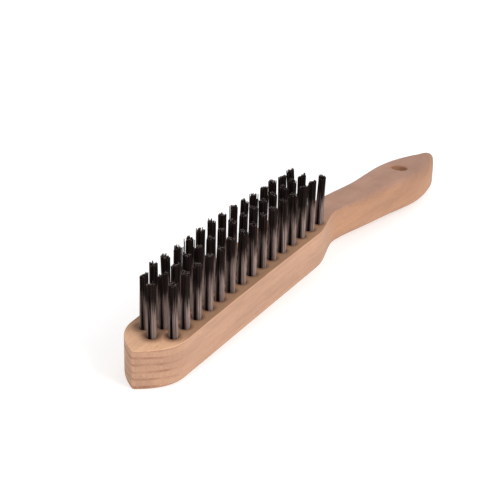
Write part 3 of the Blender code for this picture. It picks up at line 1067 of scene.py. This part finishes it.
def tuft_mesh(name, top, bristles):
    """A bundle of wires folded in two round the anchor, which lies along X in the bottom of the hole."""
    rng = random.Random(f"{name} {bristles.seed}")
    top = top + Vector((rng.gauss(0, bristles.sway), rng.gauss(0, bristles.sway), 0.0))
    halves = [top + Vector((0, 0, rng.gauss(0, bristles.uneven_halves))) for _ in range(2)]
    bm = bmesh.new()
    along = bm.verts.layers.float.new("along")
    strand = bm.verts.layers.float.new("strand")
    shade = bm.verts.layers.float.new("slot_shade")
    tip = bm.faces.layers.int.new("tip")
    places = sorted(leg_places(bristles), key=lambda place: place.x)
    columns = math.ceil(len(places) / FOLD_ROWS)
    floor = -bristles.hole_depth
    for i, place in enumerate(places):
        column, row = divmod(i, FOLD_ROWS)
        x = (column - (columns - 1) / 2) * FOLD_STEP_ALONG * bristles.wire
        reach = FOLD_REACH + row * FOLD_STEP * bristles.wire
        fold = Vector((x, reach, floor + FOLD_HEIGHT))
        bottom = floor + bristles.wire * (FOLD_LIFT + FOLD_STEP * (FOLD_ROWS - 1 - row))
        down = leg_path(place, -1, fold, halves[0], bristles, rng)
        up = leg_path(place, 1, fold, halves[1], bristles, rng)
        inner = reach * FOLD_NARROWING
        under = [Vector((x, -inner, bottom)), Vector((x, inner, bottom))]
        add_wire(bm, down[::-1] + under + up, bristles.wire, rng, strand, tip)
    for vertex in bm.verts:
        vertex[along] = max(vertex.co.z / top.z, 0.0)
        # Painted shade: wires close to the slot are marked for darkening, fading out up the tuft
        closed = bristles.slot_closing * smooth_step(vertex.co.z, 0.0, bristles.slot_height)
        gap = bristles.slot / 2 * (1 - closed)
        beside = 1 - smooth_step(abs(vertex.co.y) - gap, 0.0, SLOT_SHADE_WIDTH)
        vertex[shade] = beside * (1 - smooth_step(vertex[along], *SLOT_SHADE_END))
    for face in bm.faces:
        face.material_index = face[tip]
    bmesh.ops.recalc_face_normals(bm, faces=bm.faces)
    mesh = mesh_from(name, bm)
    mesh.shade_smooth()
    mesh.set_sharp_from_angle(angle=WIRE_SHARP_ANGLE)
    return mesh


def build_tufts(settings):
    """Every tuft as an object of its own, standing in its hole."""
    bristles = settings.bristles
    _, _, spacing, _ = tuft_lattice()
    last = max(foot.x for _, foot, _, _ in TUFT_STANDS)
    for node, foot, height, lean in TUFT_STANDS:
        name = node.replace(TUFT_PREFIX, "wires_")
        free = height - bristles.hole_depth + CLEARANCE - bristles.trim * (foot.x - bristles.trim_x) ** 2
        splay = -bristles.splay * foot.y / spacing * smooth_step(foot.x, last - SPLAY_RANGE, last)
        mesh = tuft_mesh(name, Vector((splay, 0.0, free)), bristles)
        mesh.transform(mouth_matrix(foot, lean, bristles))
        tuft = add_object(name, mesh, material_named("drawn_wire"), material_named("cut_steel"))
        lay_down(tuft, node, slot="steel_wire")


# ---- Anchors ----


def anchor_mesh(anchors):
    """A short flat wire on edge, with drawn edges and ends pinched thin by the cutter."""
    bm = bmesh.new()
    bmesh.ops.create_cube(bm, size=1.0)
    bmesh.ops.scale(bm, vec=(anchors.length, anchors.thickness, anchors.height), verts=bm.verts)
    long_edges = [e for e in bm.edges if abs(e.verts[0].co.x - e.verts[1].co.x) > anchors.length / 2]
    bmesh.ops.bevel(
        bm, geom=long_edges, offset=anchors.bevel, affect="EDGES", segments=3, profile=0.5, material=-1
    )
    for share_of_length in ANCHOR_CUTS:
        everything = bm.verts[:] + bm.edges[:] + bm.faces[:]
        place = (share_of_length * anchors.length, 0, 0)
        bmesh.ops.bisect_plane(bm, geom=everything, plane_co=place, plane_no=(1, 0, 0))
    for vertex in bm.verts:
        pinch = smooth_step(abs(vertex.co.x), PINCH_START * anchors.length, 0.5 * anchors.length)
        vertex.co.y *= 1 - PINCH_SHARE * pinch
        vertex.co.z += PINCH_RISE * pinch
    bmesh.ops.recalc_face_normals(bm, faces=bm.faces)
    mesh = mesh_from("anchor", bm)
    mesh.shade_smooth()
    mesh.set_sharp_from_angle(angle=SHARP_ANGLE)
    return mesh


def build_anchors(settings):
    """One anchor across the bottom of every hole, resting in the folds of the wires."""
    bristles = settings.bristles
    height = ANCHOR_REST + settings.anchors.height / 2
    rise = Matrix.Translation((0, 0, height - bristles.hole_depth))
    for node, foot, _, lean in TUFT_STANDS:
        mesh = anchor_mesh(settings.anchors)
        mesh.transform(mouth_matrix(foot, lean, bristles) @ rise)
        anchor = add_object(node.replace(TUFT_PREFIX, "anchor_"), mesh, material_named("anchor_wire"))
        lay_down(anchor, slot="steel_wire")


# ---- Stage ----


def build_floor():
    """A wide floor with rounded-up edges, far outside the view."""
    bm = bmesh.new()
    bmesh.ops.create_circle(bm, cap_ends=True, segments=2 * RIM_SEGMENTS, radius=FLOOR_RADIUS)
    rim = list(bm.edges)
    for grow, rise in FLOOR_EDGE:
        made = bmesh.ops.extrude_edge_only(bm, edges=rim)["geom"]
        ring = [item for item in made if isinstance(item, bmesh.types.BMVert)]
        rim = [e for e in made if isinstance(e, bmesh.types.BMEdge) and set(ring).issuperset(e.verts)]
        bmesh.ops.scale(bm, vec=(grow, grow, 1.0), verts=ring)
        bmesh.ops.translate(bm, vec=(0, 0, rise), verts=ring)
    floor = add_object("studio_floor", mesh_from("studio_floor", bm), material_named("studio_floor"))
    floor.data.shade_smooth()


def direction_from(azimuth, elevation):
    """Unit vector towards something at an azimuth and an elevation, azimuth 0 being in front (-Y)."""
    flat = math.cos(elevation)
    return Vector((math.sin(azimuth) * flat, -math.cos(azimuth) * flat, math.sin(elevation)))


def add_lamp(name, middle, energy, azimuth, elevation, distance, width):
    """A soft square lamp that faces the brush."""
    lamp = bpy.data.lights.new(name, "AREA")
    lamp.shape = "SQUARE"
    lamp.size = width
    lamp.energy = energy
    thing = bpy.data.objects.new(name, lamp)
    bpy.context.scene.collection.objects.link(thing)
    towards = direction_from(math.radians(azimuth), math.radians(elevation))
    thing.location = middle + distance * towards
    thing.rotation_euler = towards.to_track_quat("Z", "Y").to_euler()


def build_lights(stage, middle):
    """Even light from all round, a main light to the right of the camera and a fill to its left."""
    world = bpy.data.worlds.new("studio")
    world.use_nodes = True
    background = world.node_tree.nodes["Background"]
    background.inputs["Color"].default_value = (1.0, 1.0, 1.0, 1.0)
    background.inputs["Strength"].default_value = stage.sky
    bpy.context.scene.world = world
    add_lamp("key", middle, stage.key, *KEY_LAMP)
    add_lamp("fill", middle, stage.fill, *FILL_LAMP)


def build_camera(stage, middle):
    """Camera on an orbit round the brush."""
    data = bpy.data.cameras.new("camera")
    data.sensor_width = SENSOR_WIDTH
    data.lens = stage.lens
    data.clip_start = CLIP_START
    data.clip_end = CLIP_END
    camera = bpy.data.objects.new("camera", data)
    bpy.context.scene.collection.objects.link(camera)
    orbit = Matrix.Rotation(stage.azimuth, 4, "Z") @ Matrix.Rotation(math.pi / 2 - stage.elevation, 4, "X")
    back = Matrix.Rotation(stage.roll, 4, "Z") @ Matrix.Translation((0, 0, stage.distance))
    camera.matrix_world = Matrix.Translation(middle + Vector(stage.aim)) @ orbit @ back
    bpy.context.scene.camera = camera


# ---- Operators and panel ----


class MakeBody(bpy.types.Operator):
    """Build the drilled beech body"""

    bl_idname = "wire_brush.make_body"
    bl_label = "Wooden Body"
    bl_options = {"REGISTER", "UNDO"}

    def execute(self, context):
        build_body(context.scene.wire_brush)
        return {"FINISHED"}


class MakeTufts(bpy.types.Operator):
    """Build every tuft of folded steel wire"""

    bl_idname = "wire_brush.make_tufts"
    bl_label = "Wire Tufts"
    bl_options = {"REGISTER", "UNDO"}

    def execute(self, context):
        build_tufts(context.scene.wire_brush)
        return {"FINISHED"}


class MakeAnchors(bpy.types.Operator):
    """Build the flat anchor wire in the bottom of every hole"""

    bl_idname = "wire_brush.make_anchors"
    bl_label = "Anchors"
    bl_options = {"REGISTER", "UNDO"}

    def execute(self, context):
        build_anchors(context.scene.wire_brush)
        return {"FINISHED"}


class MakeStage(bpy.types.Operator):
    """Set up the floor, the lights and the camera"""

    bl_idname = "wire_brush.make_stage"
    bl_label = "Stage"
    bl_options = {"REGISTER", "UNDO"}

    def execute(self, context):
        stage = context.scene.wire_brush.stage
        low, high = CAD_BOX
        middle = (low + high) / 2
        build_camera(stage, middle)
        build_floor()
        build_lights(stage, middle)
        context.scene.view_settings.view_transform = "Standard"
        return {"FINISHED"}


STEPS = (MakeStage, MakeBody, MakeAnchors, MakeTufts)


class WireBrushPanel(bpy.types.Panel):
    """Lists the steps that build the brush"""

    bl_idname = "VIEW3D_PT_wire_brush"
    bl_label = "Wire Brush"
    bl_space_type = "VIEW_3D"
    bl_region_type = "UI"
    bl_category = "Wire Brush"

    def draw(self, context):
        settings = context.scene.wire_brush
        for step in STEPS:
            self.layout.operator(step.bl_idname)
        for group in (settings.body, settings.bristles, settings.anchors, settings.finishes, settings.stage):
            column = self.layout.column()
            for name in group.__annotations__:
                column.prop(group, name)


SETTINGS = (BodySizes, BristleSizes, AnchorSizes, Finishes, StageSettings, BrushSettings)
CLASSES = (*SETTINGS, *STEPS, WireBrushPanel)


def register():
    for cls in CLASSES:
        bpy.utils.register_class(cls)
    bpy.types.Scene.wire_brush = PointerProperty(type=BrushSettings)


def unregister():
    del bpy.types.Scene.wire_brush
    for cls in reversed(CLASSES):
        bpy.utils.unregister_class(cls)


def main():
    """Build everything."""
    register()
    bpy.ops.wire_brush.make_stage()
    bpy.ops.wire_brush.make_body()
    bpy.ops.wire_brush.make_anchors()
    bpy.ops.wire_brush.make_tufts()


if __name__ == "__main__":
    main()
